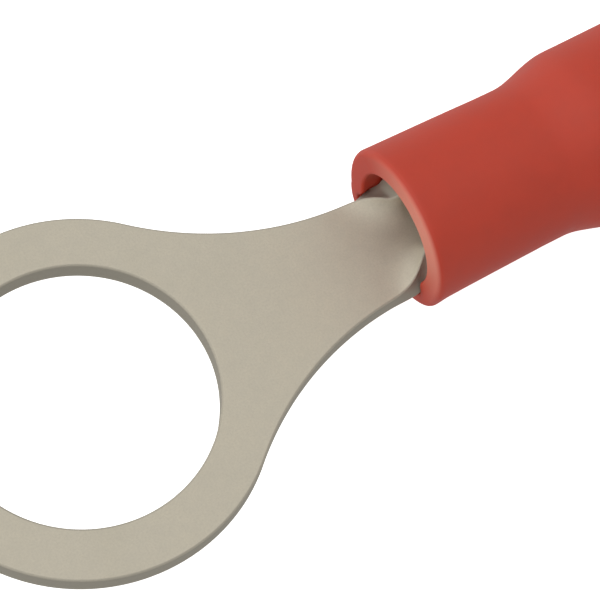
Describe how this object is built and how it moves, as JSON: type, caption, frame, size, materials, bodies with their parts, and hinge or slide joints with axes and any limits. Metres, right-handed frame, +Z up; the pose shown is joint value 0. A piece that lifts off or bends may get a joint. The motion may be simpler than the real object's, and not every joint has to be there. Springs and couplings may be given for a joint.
{
  "type": "insulated ring terminal",
  "caption": "Ring terminal: a flat tinned-copper ring tongue for a stud, rolled into a crimp barrel that a flared red vinyl sleeve insulates.",
  "frame": {"origin": "centre of the stud hole, on the tongue's bottom (seating) face", "axes": "+X along the barrel towards the wire entry, +Y across the tongue, +Z up out of the tongue's top face, along the stud hole"},
  "size_m": [0.027, 0.0116, 0.0059],
  "materials": {
    "tinned_copper": "electro-tinned sheet copper, warm grey, matte to satin, with a fine mottled grain and softly rounded stamped edges",
    "red_vinyl": "moulded red PVC, satin, slightly soft and translucent-looking at the edges"
  },
  "bodies": {
    "root": {"terminal": "tinned_copper", "insulating_sleeve": "red_vinyl"}
  },
  "joints": []
}
